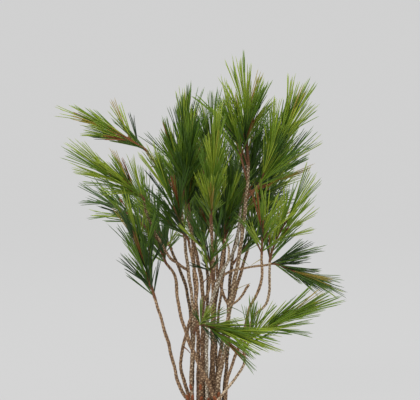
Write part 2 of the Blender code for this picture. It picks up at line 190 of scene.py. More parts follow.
# The part's limbs: what each springs from, the points it passes, and its radius at foot and tip.
LIMBS = {
    "west_outer": Limb(
        "trunk",
        [(-27, -15, 40), (-46, -22, 72), (-65, -36, 150), (-89, -46, 235)],
        (3.4, 2.8),
    ),
    "west_bow": Limb(
        "trunk",
        [(-27, 7, 40), (-44, 1, 104), (-33, -10, 167), (-14, -18, 242), (-29, -10, 328)],
        (3.4, 2.6),
    ),
    "west_cross": Limb(
        "trunk",
        [(22, -23, 40), (5, -30, 80), (-24, -35, 144),
         (-46, -22, 210), (-54, 0, 266), (-69, 10, 288)],
        (4.4, 2.6),
    ),
    "west_tall": Limb(
        "trunk",
        [(-23, -4, 40), (-25, 0, 96), (-20, 5, 187), (-32, 2, 290),
         (-46, -12, 406), (-66, -18, 442), (-103, -25, 492)],
        (3.6, 2.6),
    ),
    "west_side": Limb(
        ("west_tall", 0.51),
        [(-48, -14, 291), (-65, -28, 308), (-97, -44, 368), (-108, -54, 408)],
        (2.6, 2.5),
    ),
    "centre_left": Limb(
        "trunk",
        [(-8, 2, 40), (-5, 6, 100), (-4, 13, 190), (-7, 18, 260), (-33, 30, 380)],
        (5.0, 3.0),
    ),
    "centre_link": Limb(
        ("centre_left", 0.52),
        [(3, 22, 230), (9, 28, 252), (12, 36, 330)],
        (2.3, 2.3),
    ),
    "centre": Limb(
        "trunk",
        [(13, 9, 40), (14, 0, 110), (14, -8, 207), (15, -18, 289), (11, -44, 368)],
        (5.2, 2.9),
    ),
    "centre_grey": Limb(
        "trunk",
        [(4, -15, 40), (3, -16, 136), (7, -24, 205), (31, -36, 279), (55, -16, 323), (65, 12, 395)],
        (3.6, 2.6),
    ),
    "centre_spur": Limb(("centre_grey", 0.71), [(43, -34, 319), (35, -42, 338)], (2.1, 1.7)),
    "centre_thin": Limb(
        "trunk",
        [(27, 21, 40), (20, 26, 130), (25, 32, 198), (34, 44, 270), (37, 54, 328)],
        (2.8, 2.4),
    ),
    "centre_back": Limb(
        "trunk",
        [(10, 26, 40), (16, 48, 180), (28, 74, 270), (40, 95, 343)],
        (4.2, 3.0),
    ),
    "right_tall": Limb(
        "trunk",
        [(22, -5, 40), (25, -12, 84), (40, -20, 153), (43, -26, 210),
         (61, -34, 309), (75, -24, 424), (77, -18, 468)],
        (4.8, 3.0),
    ),
    "right_fork": Limb(
        ("right_tall", 0.42),
        [(32, -6, 238), (28, 12, 265), (34, 24, 312)],
        (2.8, 2.4),
    ),
    "right_stub": Limb(("right_tall", 0.42), [(61, -36, 231), (78, -44, 257)], (1.8, 2.4)),
    "right_dark": Limb(
        "trunk",
        [(34, 8, 40), (41, 14, 131), (44, 24, 232), (54, 36, 320), (76, 66, 379)],
        (3.8, 2.8),
    ),
    "right_inner_bow": Limb(
        "trunk",
        [(37, -10, 40), (41, -16, 85), (68, -28, 165),
         (78, -36, 210), (99, -48, 260), (100, -54, 311)],
        (3.2, 2.4),
    ),
    "right_outer_bow": Limb(
        "trunk",
        [(16, -38, 40), (37, -43, 68), (68, -44, 112), (70, -42, 150),
         (87, -38, 199), (112, -32, 228), (116, -22, 295)],
        (2.6, 2.3),
    ),
    "right_low_arch": Limb(
        ("centre", 0.66),
        [(38, 6, 271), (63, 14, 279), (120, 26, 286)],
        (2.4, 2.0),
    ),
    "back_top": Limb(("centre_back", 0.66), [(20, 82, 330), (15, 84, 430)], (2.8, 2.5)),
    "back_left": Limb(
        "trunk",
        [(-12, 18, 40), (-13, 40, 150), (-20, 74, 260), (-26, 112, 350)],
        (4.2, 3.0),
    ),
    "back_low": Limb(
        "trunk",
        [(-25, 22, 40), (-23, 52, 130), (-35, 96, 230), (-66, 136, 305)],
        (3.8, 2.8),
    ),
    "back_far": Limb(
        "trunk",
        [(-3, 34, 40), (-1, 62, 140), (5, 106, 235), (0, 150, 300)],
        (3.8, 2.8),
    ),
    "back_right": Limb(
        "trunk",
        [(17, 38, 40), (32, 58, 140), (60, 88, 240), (85, 120, 320)],
        (4.0, 2.8),
    ),
}

# Each mass: the limb and the share of its length where its twig springs, the points that the twig
# passes, how many sprays of needles stand on it, their length, and the share of the twig left bare
# at its foot.
MASSES = {
    "upper_left": Mass(("west_tall", 1), [(-139, -34, 517), (-177, -45, 539)], 14, 90, 0.02),
    "left_upper": Mass(("west_side", 1), [(-131, -70, 430), (-162, -88, 452)], 14, 98, 0.0),
    "left_middle": Mass(
        ("west_side", 0.5),
        [(-116, -28, 367), (-148, -8, 387), (-170, 6, 399)],
        13, 88, 0.3,
    ),
    "left_lower": Mass(("west_outer", 1), [(-102, -54, 284), (-119, -68, 342)], 14, 100, 0.0),
    "left_inner": Mass(("west_cross", 1), [(-78, 22, 309), (-88, 36, 330)], 11, 88, 0.0),
    "crown_left": Mass(("centre_left", 1), [(-36, 24, 440), (-35, 14, 513)], 17, 100, 0.05),
    "crown_left_spire": Mass(("west_tall", 0.76), [(-34, -24, 442), (-26, -32, 487)], 12, 90, 0.2),
    "crown_left_low": Mass(("west_bow", 1), [(-46, -34, 370), (-66, -52, 430)], 14, 98, 0.1),
    "crown_front": Mass(("centre", 1), [(12, -70, 417), (17, -98, 479)], 17, 104, 0.05),
    "crown_top": Mass(("right_tall", 1), [(73, -16, 524), (73, -14, 570)], 14, 98, 0.25),
    "crown_top_left": Mass(("right_tall", 0.93), [(58, -24, 505), (46, -30, 540)], 10, 88, 0.35),
    "crown_middle": Mass(("centre_grey", 1), [(80, 28, 448), (92, 42, 492)], 13, 94, 0.1),
    "crown_right": Mass(("right_tall", 0.86), [(108, -34, 452), (142, -44, 534)], 18, 104, 0.2),
    "right_behind": Mass(("right_dark", 1), [(104, 80, 420), (144, 92, 466)], 14, 100, 0.1),
    "right_upper": Mass(("right_inner_bow", 1), [(100, -74, 339), (101, -92, 372)], 14, 98, 0.0),
    "right_middle": Mass(("right_outer_bow", 1), [(127, -26, 335), (154, -30, 386)], 15, 100, 0.0),
    "right_inside": Mass(("right_dark", 0.7), [(74, 48, 316), (96, 70, 340)], 11, 86, 0.2),
    "right_arch": Mass(("right_low_arch", 1), [(147, 38, 280), (176, 52, 266)], 13, 96, 0.0),
    "front_low_left": Mass(
        ("west_tall", 0.27),
        [(-14, -34, 182), (0, -62, 187), (48, -98, 182)],
        14, 102, 0.4,
    ),
    "front_low_right": Mass(
        ("right_outer_bow", 0.42),
        [(90, -62, 172), (146, -85, 207)],
        14, 104, 0.1,
    ),
    "crown_low": Mass(("centre", 0.68), [(8, -62, 300), (-6, -92, 336)], 13, 98, 0.2),
    "crown_inner": Mass(("right_fork", 1), [(34, 22, 350), (36, 6, 392)], 12, 96, 0.05),
    "crown_heart": Mass(("centre_link", 1), [(8, 34, 375), (6, 24, 424)], 12, 96, 0.05),
    "crown_behind": Mass(("centre_thin", 1), [(44, 60, 370), (50, 66, 412)], 12, 96, 0.05),
    "crown_back": Mass(("centre_back", 1), [(50, 112, 392), (54, 124, 436)], 14, 100, 0.05),
    "back_crown_top": Mass(("back_top", 1), [(12, 82, 478), (12, 78, 518)], 13, 98, 0.05),
    "back_left_brush": Mass(("back_left", 1), [(-34, 138, 400), (-40, 152, 440)], 13, 100, 0.05),
    "back_low_brush": Mass(("back_low", 1), [(-98, 166, 350), (-116, 180, 382)], 13, 98, 0.05),
    "back_far_brush": Mass(("back_far", 1), [(-4, 184, 340), (-8, 204, 374)], 14, 98, 0.05),
    "back_right_brush": Mass(("back_right", 1), [(102, 142, 366), (118, 158, 402)], 14, 100, 0.05),
}

# The bark that each limb wears, where it isn't the brown one, and the limbs that are dead wood.
# Pale on the lit front limbs is partly painted light, and dark on the limbs at the back is painted
# shade.
LIMB_BARKS = {
    "centre_grey": "grey",
    "centre_spur": "pale",
    "right_tall": "pale",
    "right_outer_bow": "pale",
    "west_tall": "pale",
    "back_far": "dark",
    "back_low": "dark",
    "centre_back": "dark",
    "centre_thin": "dark",
    "right_dark": "dark",
}
DEAD_LIMBS = ("centre_grey", "centre_spur")

# The needle tones from the lit new green through the shaded old green to the yellowed and dead
# brown, and the share of each in a mix. The greens are partly the needles' own age and partly
# painted light and shade, and the shade tone is painted shade. The first faces of each needle are
# the brown sheath that holds its foot.
TONES = ("spring", "fresh", "summer", "deep", "shade", "yellowed", "rust")
# The darkest living tone, which is painted shade.
DARKEST_LIVING_TONE = "shade"
SHEATH_TONE = "rust"
SHEATH_FACES = 2 * NEEDLE_CORNERS
TIP_BRIGHTER = 0.35
# The light and rusty mixes, rich in the brightest greens, are painted light for the masses that
# stand in the light, and the dark mix is painted shade for the masses that lie in shade.
MIXES = {
    "light": (0.34, 0.34, 0.20, 0.07, 0.01, 0.03, 0.01),
    "middle": (0.12, 0.28, 0.34, 0.18, 0.04, 0.03, 0.01),
    "rusty": (0.33, 0.29, 0.16, 0.06, 0.01, 0.06, 0.09),
    "dark": (0.03, 0.12, 0.28, 0.33, 0.20, 0.02, 0.02),
}

# How each mass is dressed: its mix of tones, where light and dark are painted light and painted
# shade, then how many needles it has and how wide they spread, as shares of the usual.
USUAL_STYLE = Style("middle", 1.0, 1.0)
STYLES = {
    "upper_left": Style("rusty", 0.75, 0.65),
    "left_upper": Style("light", 0.7, 0.95),
    "left_middle": Style("dark", 0.45, 1.1),
    "left_lower": Style("dark", 1.0, 0.75),
    "left_inner": Style("dark", 0.5, 0.8),
    "crown_left": Style("dark", 2.4, 0.5),
    "crown_left_spire": Style("dark", 1.3, 0.45),
    "crown_left_low": Style("dark", 0.8, 0.6),
    "crown_front": Style("light", 1.1, 0.42),
    "crown_top": Style("light", 0.95, 1.15),
    "crown_top_left": Style("light", 0.8, 1.0),
    "crown_middle": Style("dark", 1.0, 0.8),
    "crown_right": Style("light", 1.2, 0.65),
    "right_behind": Style("dark", 0.9, 1.2),
    "right_upper": Style("light", 0.35, 1.0),
    "right_middle": Style("light", 0.55, 1.05),
    "right_inside": Style("dark", 0.5, 1.0),
    "right_arch": Style("dark", 0.75, 0.65),
    "front_low_left": Style("light", 0.75, 0.6),
    "front_low_right": Style("light", 0.65, 0.85),
    "crown_low": Style("dark", 0.35, 0.7),
    "crown_inner": Style("dark", 0.8, 0.8),
    "crown_heart": Style("dark", 0.9, 0.7),
    "crown_behind": Style("dark", 0.9, 0.9),
    "crown_back": Style("dark", 1.0, 1.0),
}

# Small bits: the limb that holds each, its kind, how far behind its foot the rest of it lies (minus
# is towards the viewer), then its course as seen from the front, across and up.
SMALL_BITS = [
    ("right_tall", "yellowed", -8, (50, 244), (66, 253), (81, 259)),
    ("right_tall", "deep", -8, (47, 216), (60, 210), (72, 202)),
    ("right_tall", "summer", -8, (61, 304), (70, 298), (77, 291)),
    ("right_inner_bow", "yellowed", -6, (98, 304), (90, 299), (81, 293)),
    ("centre_thin", "yellowed", -6, (25, 198), (31, 203), (36, 205)),
    ("centre_thin", "deep", -6, (28, 238), (34, 239), (40, 238)),
    ("right_inner_bow", "summer", -6, (64, 160), (76, 142), (86, 124)),
    ("right_outer_bow", "deep", -5, (70, 136), (77, 130), (83, 124)),
    ("centre_left", "yellowed", -18, (-24, 362), (-10, 352), (1, 345)),
    ("centre_left", "twig", -4, (-6, 252), (1, 259), (6, 263)),
    ("west_bow", "twig", -4, (-38, 140), (-32, 135), (-27, 129)),
    ("west_tall", "twig", -6, (-20, 177), (-11, 160), (-7, 144)),
    ("west_tall", "twig", -2, (-84, 466), (-91, 466), (-98, 465)),
    ("west_tall", "twig", -6, (-46, 408), (-39, 434), (-29, 481)),
    ("centre", "twig", -6, (11, 366), (5, 405), (-2, 455), (0, 481)),
    ("right_tall", "twig", -8, (77, 466), (66, 494), (41, 540)),
    ("right_tall", "twig", -6, (75, 418), (92, 430), (103, 451)),
    ("right_tall", "rust", -14, (77, 466), (52, 530), (27, 585)),
    ("right_tall", "rust", -10, (77, 466), (55, 528), (32, 580)),
    ("right_tall", "yellowed", -62, (43, 178), (70, 178), (99, 172)),
    ("west_tall", "rust", -24, (-20, 185), (-5, 184), (13, 180)),
    ("right_outer_bow", "twig", 6, (116, 292), (126, 344), (131, 378), (128, 405)),
]
SMALL_BIT_LOOKS = ("twig", "yellowed", "rust", "deep", "summer", "flake")

# Flakes of bark: the limb, how far up it as a share, and how far round it in radians.
FLAKES = [
    ("west_outer", 0.04, 2.9),
    ("west_outer", 0.09, 3.6),
    ("west_tall", 0.03, 3.3),
    ("west_tall", 0.07, 2.7),
    ("centre_left", 0.03, 3.4),
    ("centre_left", 0.09, 2.8),
    ("centre_grey", 0.03, 3.8),
    ("west_bow", 0.05, 3.9),
    ("centre", 0.08, 3.0),
    ("right_tall", 0.05, 3.5),
    ("right_outer_bow", 0.04, 3.1),
    ("west_cross", 0.07, 2.6),
]

# Needles. A living one has a smooth waxy skin, which gives the green a soft satin gloss. As it dies
# the wax goes, so the yellowed and brown ones look duller. Each has its colour and its roughness.
NEEDLE_LOOKS = {
    # The spring green is partly painted light, the old green is partly painted shade, and the
    # shaded needle is painted shade.
    "spring": ("lit new spring needle", "#9aae34", 0.42),
    "fresh": ("fresh needle", "#739024", 0.42),
    "summer": ("summer needle", "#5f7f20", 0.42),
    "deep": ("shaded old green needle", "#42621a", 0.42),
    "shade": ("shaded needle", "#294214", 0.42),
    "yellowed": ("yellowed needle", "#a8923a", 0.55),
    "rust": ("dead brown needle", "#8b5127", 0.65),
}
WAX_IOR = 1.45

# Barks. Each has its light and dark colour, the size of its mottle in millimetres, and its
# roughness. The buds' resin gives them a slight shine, the flakes are papery, and the trunk's
# cracks are old and dull.
BARK_LOOKS = {
    "bud": ("resinous bud scale", "#a0623a", "#6b3a1f", 1.2, 0.5),
    "flake": ("papery bark flake", "#b0693c", "#7c3f22", 2.0, 0.7),
    "twig": ("smooth twig bark", "#8f6240", "#613c25", 1.6, 0.75),
    "trunk": ("cracked trunk bark", "#7d6852", "#443225", 6.0, 0.9),
    "trunk crack": ("trunk bark crack", "#4a382a", "#291c13", 4.0, 0.95),
}

# Stem barks: the light and dark colour of the leaf scars, then of the bark between them. The scars
# are dry raised ledges, lighter partly in their own colour and partly as a painted highlight where
# they catch the light, and the bark between them is rougher and darker, partly its own colour and
# partly painted shade in the hollows. Brown is the usual living bark, pale is its lightest, partly
# painted light on the lit front stems, dark is its darkest, painted shade on the stems at the back,
# and grey is weathered dead wood.
STEM_COLOURS = {
    "brown": ("#c3a482", "#a5835f", "#86694d", "#523a29"),
    "pale": ("#dac5a8", "#c0a583", "#957a5c", "#5c4634"),
    "grey": ("#e2d9c8", "#bcae97", "#988973", "#6a5b49"),
    "dark": ("#b0936f", "#83674a", "#59442f", "#33241a"),
}
STEM_GRAIN = 1.6
SCAR_ROUGHNESS = 0.8
BETWEEN_ROUGHNESS = 0.9

# The mottle runs from dark to light between two levels of its noise. Real bark grit is about 0.1
# mm. It is drawn at a quarter of the mottle so that it shows.
MOTTLE_DARK, MOTTLE_LIGHT, MOTTLE_DETAIL = 0.36, 0.64, 4.0
GRIT_TO_MOTTLE, GRIT_DETAIL, GRIT_STRENGTH, GRIT_DEPTH = 4, 3.0, 0.6, 0.3


def linear(hex_colour):
    """An sRGB hex colour as linear RGB."""
    parts = [int(hex_colour[i : i + 2], 16) / 255 for i in (1, 3, 5)]
    return [c / 12.92 if c <= 0.04045 else ((c + 0.055) / 1.055) ** 2.4 for c in parts]


def add_node(tree, kind, **inputs):
    """Adds a node with its settings and links: a socket is linked, and any other value is set."""
    node = tree.nodes.new(kind)
    for name, value in inputs.items():
        if isinstance(value, bpy.types.NodeSocket):
            tree.links.new(value, node.inputs[name])
        else:
            node.inputs[name].default_value = value
    return node


def new_material(name, colour, roughness):
    """(material, shader) of a new plain material."""
    material = bpy.data.materials.new(name)
    material.use_nodes = True
    shader = material.node_tree.nodes["Principled BSDF"]
    shader.inputs["Base Color"].default_value = (*linear(colour), 1)
    shader.inputs["Roughness"].default_value = roughness
    shader.inputs["Metallic"].default_value = 0
    return material, shader


def needle_material(name, colour, roughness):
    """Pine needle, grown with a waxy skin."""
    material, shader = new_material(name, colour, roughness)
    shader.inputs["IOR"].default_value = WAX_IOR
    return material


def bark_material(name, light, dark, grain, roughness):
    """Young pine bark, grown thin and scaly: matt, gritty, and mottled as large as its scales."""
    material, shader = new_material(name, light, roughness)
    tree = material.node_tree
    place = add_node(tree, "ShaderNodeTexCoord").outputs["Object"]
    scale = 1 / (grain * MM)
    mottle = add_node(tree, "ShaderNodeTexNoise", Vector=place, Scale=scale, Detail=MOTTLE_DETAIL)
    ramp = add_node(tree, "ShaderNodeValToRGB", Fac=mottle.outputs["Fac"])
    levels = (MOTTLE_DARK, MOTTLE_LIGHT)
    for stop, level, colour in zip(ramp.color_ramp.elements, levels, (dark, light)):
        stop.position = level
        stop.color = (*linear(colour), 1)
    tree.links.new(ramp.outputs["Color"], shader.inputs["Base Color"])
    grit_scale = GRIT_TO_MOTTLE / (grain * MM)
    grit = add_node(tree, "ShaderNodeTexNoise", Vector=place, Scale=grit_scale, Detail=GRIT_DETAIL)
    height, depth = grit.outputs["Fac"], GRIT_DEPTH * MM
    bump = add_node(tree, "ShaderNodeBump", Height=height, Strength=GRIT_STRENGTH, Distance=depth)
    tree.links.new(bump.outputs["Normal"], shader.inputs["Normal"])
    return material


def make_materials():
    """{name: material}, where a stem's bark is the pair of its scars and what lies between them."""
    made = {tone: needle_material(*look) for tone, look in NEEDLE_LOOKS.items()}
    made.update({bark: bark_material(*look) for bark, look in BARK_LOOKS.items()})
    for tone, (light, mid, low, deep) in STEM_COLOURS.items():
        made[tone] = (
            bark_material(f"{tone} leaf scar bark", light, mid, STEM_GRAIN, SCAR_ROUGHNESS),
            bark_material(f"{tone} bark between scars", low, deep, STEM_GRAIN, BETWEEN_ROUGHNESS),
        )
    return made


def smooth_path(points, step, leaving=None):
    """A smooth curve through these points, about step apart, with leaving as its first heading."""
    points = [np.array(p, float) for p in points]
    first = points[1] - points[0]
    before = points[0] - (leaving * np.linalg.norm(first) if leaving is not None else first)
    line = [before, *points, 2 * points[-1] - points[-2]]
    path = []
    for a, b, c, d in zip(line, line[1:], line[2:], line[3:]):
        count = max(1, round(float(np.linalg.norm(c - b)) / step))
        t = np.arange(count)[:, None] / count
        bend = 2 * a - 5 * b + 4 * c - d
        twist = 3 * b - a - 3 * c + d
        path.append(b + 0.5 * ((c - a) * t + bend * t**2 + twist * t**3))
    return np.vstack([*path, points[-1]])


def unit(rows):
    """Each row scaled to length one."""
    return rows / np.linalg.norm(rows, axis=-1, keepdims=True)


def lengths_along(path):
    """How far along the path each of its points lies."""
    return np.concatenate([[0], np.cumsum(np.linalg.norm(np.diff(path, axis=0), axis=1))])


def at_shares(path, shares):
    """(points, headings) at these shares of the path's length."""
    run = lengths_along(path)
    where = np.atleast_1d(shares) * run[-1]
    points = np.stack([np.interp(where, run, path[:, i]) for i in range(3)], axis=1)
    heads = unit(np.gradient(path, axis=0))
    return points, unit(np.stack([np.interp(where, run, heads[:, i]) for i in range(3)], axis=1))


def across(headings):
    """(u, v): two unit vectors square to each heading."""
    steep = np.abs(headings[:, 2:3]) >= NEARLY_UPRIGHT
    helper = np.where(steep, [[1.0, 0, 0]], [[0, 0, 1.0]])
    u = unit(np.cross(headings, helper))
    return u, np.cross(headings, u)


def around(u, v, turns):
    """The unit vectors at these turns from u towards v."""
    return u * np.cos(turns)[:, None] + v * np.sin(turns)[:, None]


def leaning(headings, sides, angles):
    """The headings, each turned by its angle towards its side."""
    return headings * np.cos(angles)[:, None] + sides * np.sin(angles)[:, None]


def carried_frame(path):
    """(u, v) square to the path at each point, carried along it without a twist."""
    heads = unit(np.gradient(path, axis=0))
    u = across(heads[:1])[0][0]
    us = []
    for head in heads:
        u = u - head * (u @ head)
        u = u / np.linalg.norm(u)
        us.append(u)
    us = np.array(us)
    return us, np.cross(heads, us)


def peg_relief(run, angles, radii):
    """How high the leaf-scar pegs stand at each ring and angle, from 0 to 1."""
    pace, shift = PEG_SCATTER
    ring, angle = run[:, None], angles[None, :]
    relief = np.zeros((len(run), len(angles)))
    nearest = np.floor(ring / PEG_PITCH)
    for offset in range(-PEG_REACH, PEG_REACH + 1):
        peg = nearest + offset
        chance = (np.sin(peg * pace + radii[0] * shift) * SCATTER_SIZE) % 1
        turned = angle - peg * GOLDEN_ANGLE - chance * PEG_TURN_JITTER
        turned = (turned + math.pi) % math.tau - math.pi
        up, round_it = (ring - peg * PEG_PITCH) / PEG_LENGTH, turned * radii[:, None] / PEG_WIDTH
        tallness = PEG_LEAST + (1 - PEG_LEAST) * chance
        relief = np.maximum(relief, np.exp(-(up**2 + round_it**2) * PEG_FALL) * tallness)
    return relief


def tube(path, radii, sides, peg_height):
    """(vertices, triangles, relief of each triangle) of a closed tube with pegs on it."""
    rows = len(path)
    u, v = carried_frame(path)
    angles = np.arange(sides) * math.tau / sides
    relief = peg_relief(lengths_along(path), angles, radii)
    size = radii[:, None] + (relief - MEAN_RELIEF) * peg_height
    ring = u[:, None] * np.cos(angles)[None, :, None] + v[:, None] * np.sin(angles)[None, :, None]
    vertices = (path[:, None] + ring * size[..., None]).reshape(-1, 3)
    row = np.arange(rows - 1)[:, None] * sides
    this, following = np.arange(sides)[None, :], (np.arange(sides)[None, :] + 1) % sides
    a, b, c, d = row + this, row + following, row + sides + following, row + sides + this
    faces = np.stack([np.stack([a, b, c], -1), np.stack([a, c, d], -1)], 2).reshape(-1, 3)
    heights = relief.reshape(-1)[faces].mean(1)
    foot, tip = len(vertices), len(vertices) + 1
    last = (rows - 1) * sides
    caps = [(foot, (k + 1) % sides, k) for k in range(sides)]
    caps += [(tip, last + k, last + (k + 1) % sides) for k in range(sides)]
    vertices = np.vstack([vertices, path[0], path[-1]])
    return vertices, np.vstack([faces, caps]), np.concatenate([heights, np.zeros(2 * sides)])


def tapered(path, girths):
    """The radius at each point of the path, with the slight swellings of a grown stem."""
    run = lengths_along(path)
    foot, tip = girths
    swelling = 1
    for size, wave, phase in SWELLINGS:
        swelling = swelling + size * np.sin(run / wave + phase)
    return (foot + (tip - foot) * (run / run[-1])) * swelling


def kinked(path, phase):
    """The path with small bends, none at its foot or tip."""
    run = lengths_along(path)
    u, v = carried_frame(path)
    hold = np.sqrt(np.sin(np.pi * run / run[-1]).clip(0))
    near = NEAR_KINK * np.sin(math.tau * run / NEAR_KINK_WAVE + phase)
    far = FAR_KINK * np.sin(math.tau * run / FAR_KINK_WAVE)
    beside = hold * NEAR_KINK * np.sin(math.tau * run / FAR_KINK_WAVE + 2 * phase)
    return path + u * (hold * (near + far))[:, None] + v * beside[:, None]


def add_object(name, data):
    """A new object in the scene."""
    obj = bpy.data.objects.new(name, data)
    bpy.context.scene.collection.objects.link(obj)
    return obj


def mesh_object(name, vertices, faces, slots, materials):
    """One object from vertices and triangles, where slots gives each triangle's material."""
    mesh = bpy.data.meshes.new(name)
    mesh.vertices.add(len(vertices))
    mesh.vertices.foreach_set("co", (np.asarray(vertices) * MM).astype(np.float32).ravel())
    mesh.loops.add(len(faces) * 3)
    mesh.loops.foreach_set("vertex_index", np.asarray(faces, np.int32).ravel())
    mesh.polygons.add(len(faces))
    mesh.polygons.foreach_set("loop_start", np.arange(0, len(faces) * 3, 3, dtype=np.int32))
    mesh.polygons.foreach_set("material_index", np.asarray(slots, np.int32))
    mesh.polygons.foreach_set("use_smooth", np.full(len(faces), True))
    for material in materials:
        mesh.materials.append(material)
    mesh.update(calc_edges=True)
    mesh.validate()
    return add_object(name, mesh)


def gather(pieces):
    """(vertices, faces, slots) of several (vertices, faces, slots), as one."""
    shift, vertices, faces, slots = 0, [], [], []
    for v, f, s in pieces:
        vertices.append(v)
        faces.append(f + shift)
        slots.append(s)
        shift += len(v)
    return np.vstack(vertices), np.vstack(faces), np.concatenate(slots)


def dress(obj, slot, *nodes):
    """Every piece rides on the one body, and stands for the nodes named, if any."""
    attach(obj, "root")
    if nodes:
        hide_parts(*nodes)


def limb_paths():
    """{name: (path, radii)} of every limb, with its foot sunk in what carries it."""
    made = {}
    for name, limb in LIMBS.items():
        if limb.springs == "trunk":
            path = smooth_path(limb.path, BARK_STEP)
            heading = unit(path[1] - path[0])
            lead = path[0] - heading * np.arange(LIMB_SINK, 0, -BARK_STEP)[:, None]
            path = np.vstack([lead, path])
        else:
            parent, share = limb.springs
            start, _ = at_shares(made[parent][0], share)
            path = smooth_path([start[0], *limb.path], BARK_STEP)
        path = kinked(path, len(made) * GOLDEN_ANGLE)
        made[name] = (path, tapered(path, limb.girths))
    return made


def build_limbs(paths, looks):
    """The bark of every limb, each for its own node."""
    for name, (path, radii) in paths.items():
        vertices, faces, heights = tube(path, radii, BARK_SIDES, PEG_HEIGHT)
        # The low bark between the scars takes the darker material, partly painted shade in the
        # hollows.
        between_scars = (heights < RIDGE_LEVEL).astype(int)
        # Pale bark on the lit front limbs is partly painted light, and dark bark on the back limbs
        # is painted shade.
        look = looks[LIMB_BARKS.get(name, "brown")]
        obj = mesh_object("bark_" + name, vertices, faces, between_scars, look)
        dress(obj, "grey_bark" if name in DEAD_LIMBS else "bark", "limb_" + name)


def scattered(points, salt):
    """A repeatable value from 0 to 1 for each whole-numbered point."""
    mixed = np.sin(points @ np.array(PLATE_SCATTER) + salt) * SCATTER_SIZE
    return mixed - np.floor(mixed)


def plates(points, size):
    """How far each point lies from the nearest crack in the bark, from 0 in a crack to 1."""
    cell = points / size
    base = np.floor(cell)
    nearest_two = np.full((len(points), 2), BEYOND_ANY_CRACK)
    for step in np.ndindex(3, 3, 3):
        corner = base + np.array(step) - 1
        seed = corner + np.stack([scattered(corner, salt) for salt in PLATE_SALTS], 1)
        far = np.linalg.norm(cell - seed, axis=1)
        nearest_two = np.sort(np.column_stack([nearest_two, far]), axis=1)[:, :2]
    return np.clip((nearest_two[:, 1] - nearest_two[:, 0]) / CRACK_WIDTH, 0, 1)


def fine_trunk():
    """(object, mesh) of the part's trunk, made again with fine, even faces."""
    obj = add_object("bark_trunk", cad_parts["trunk"].data.copy())
    remesh = obj.modifiers.new("fine", "REMESH")
    remesh.mode = "VOXEL"
    remesh.voxel_size = TRUNK_VOXEL * MM
    bpy.context.view_layer.update()
    mesh = bpy.data.meshes.new_from_object(obj.evaluated_get(bpy.context.evaluated_depsgraph_get()))
    obj.modifiers.clear()
    obj.data = mesh
    mesh.name = "bark_trunk"
    return obj, mesh


def cracked(points, normals):
    """(points with the relief of the bark plates, how far each lies from a crack)."""
    plate = plates(points * PLATE_STRETCH, PLATE_SIZE)
    fine = plates(points * FINE_STRETCH + FINE_SHIFT, FINE_SIZE)
    relief = (plate - PLATE_LEVEL) * PLATE_RELIEF
    relief = relief + (fine - FINE_LEVEL) * PLATE_RELIEF * FINE_RELIEF_SHARE
    moved = points + normals * relief[:, None]
    moved[points[:, 2] < TRUNK_FOOT, 2] = 0
    moved[:, 2] = np.maximum(moved[:, 2], 0)
    return moved, plate


def build_trunk(looks):
    """The stool and its root flare, from the part's own, with cracked plates of bark."""
    obj, mesh = fine_trunk()
    shape = bmesh.new()
    shape.from_mesh(mesh)
    every_way = {"use_axis_x": True, "use_axis_y": True, "use_axis_z": True}
    for _ in range(TRUNK_SMOOTHINGS):
        bmesh.ops.smooth_vert(shape, verts=shape.verts, factor=TRUNK_SMOOTHING, **every_way)
    shape.normal_update()
    points = np.array([v.co[:] for v in shape.verts]) / MM
    normals = np.array([v.normal[:] for v in shape.verts])
    moved, plate = cracked(points, normals)
    for vert, place in zip(shape.verts, moved):
        vert.co = Vector(place * MM)
    for face in shape.faces:
        face.smooth = True
        face.material_index = int(np.mean([plate[v.index] for v in face.verts]) < CRACK_LEVEL)
    shape.to_mesh(mesh)
    shape.free()
    mesh.materials.clear()
    mesh.materials.append(looks["trunk"])
    mesh.materials.append(looks["trunk crack"])
    dress(obj, "bark", "trunk")


def twig_path(mass, paths):
    """(path, radii) of the twig that carries a mass, from within its limb."""
    parent, share = mass.springs
    limb, radii = paths[parent]
    start, heading = at_shares(limb, share)
    start, heading = start[0], heading[0]
    if share == 1:
        lead = [start - heading * TWIG_SINK, start + heading * TWIG_LEAD]
        path = smooth_path([*lead, *mass.path], TWIG_STEP, heading)
        foot = radii[-1]
    else:
        path = smooth_path([start, *mass.path], TWIG_STEP)
        foot = TWIG_GIRTHS[0]
    return path, tapered(path, (foot, TWIG_GIRTHS[1]))


def side_shoot(twig, share, length, turn, draw):
    """The path of a short shoot that leaves the twig and bends forward beside it."""
    start, heading = at_shares(twig, share)
    u, v = across(heading)
    out = (u * math.cos(turn) + v * math.sin(turn))[0]
    way = heading[0] * math.cos(SIDE_LEAN) + out * math.sin(SIDE_LEAN)
    bend = heading[0] * SIDE_BEND + np.array(SIDE_RISE) + draw.normal(0, SIDE_WANDER, 3)
    middle = start[0] + way * length * 0.5
    return smooth_path([start[0], middle, middle + unit(way + bend) * length * 0.5], TWIG_STEP)


def fascicles(shoot, count, bare, length, spread, draw):
    """(roots, ways, lengths, shares along) of the fascicles that wind up a shoot."""
    along = (np.arange(count) + 0.5) / count
    roots, heads = at_shares(shoot, bare + (1 - bare) * along)
    turn = np.arange(count) * GOLDEN_ANGLE + draw.uniform(-TURN_JITTER, TURN_JITTER, count)
    side = around(*across(heads), turn)
    lean = SPREAD_AT_FOOT + (SPREAD_AT_TIP - SPREAD_AT_FOOT) * along**SPREAD_FALL
    lean = lean * spread + draw.uniform(-SPREAD_JITTER, SPREAD_JITTER, count)
    lean = lean + (draw.random(count) < STRAY_SHARE) * STRAY_SPREAD
    size = length * (FOOT_SHARE + (1 - FOOT_SHARE) * along)
    size = size * (1 + draw.uniform(-LENGTH_JITTER, LENGTH_JITTER, count))
    return roots, leaning(heads, side, lean), size, along


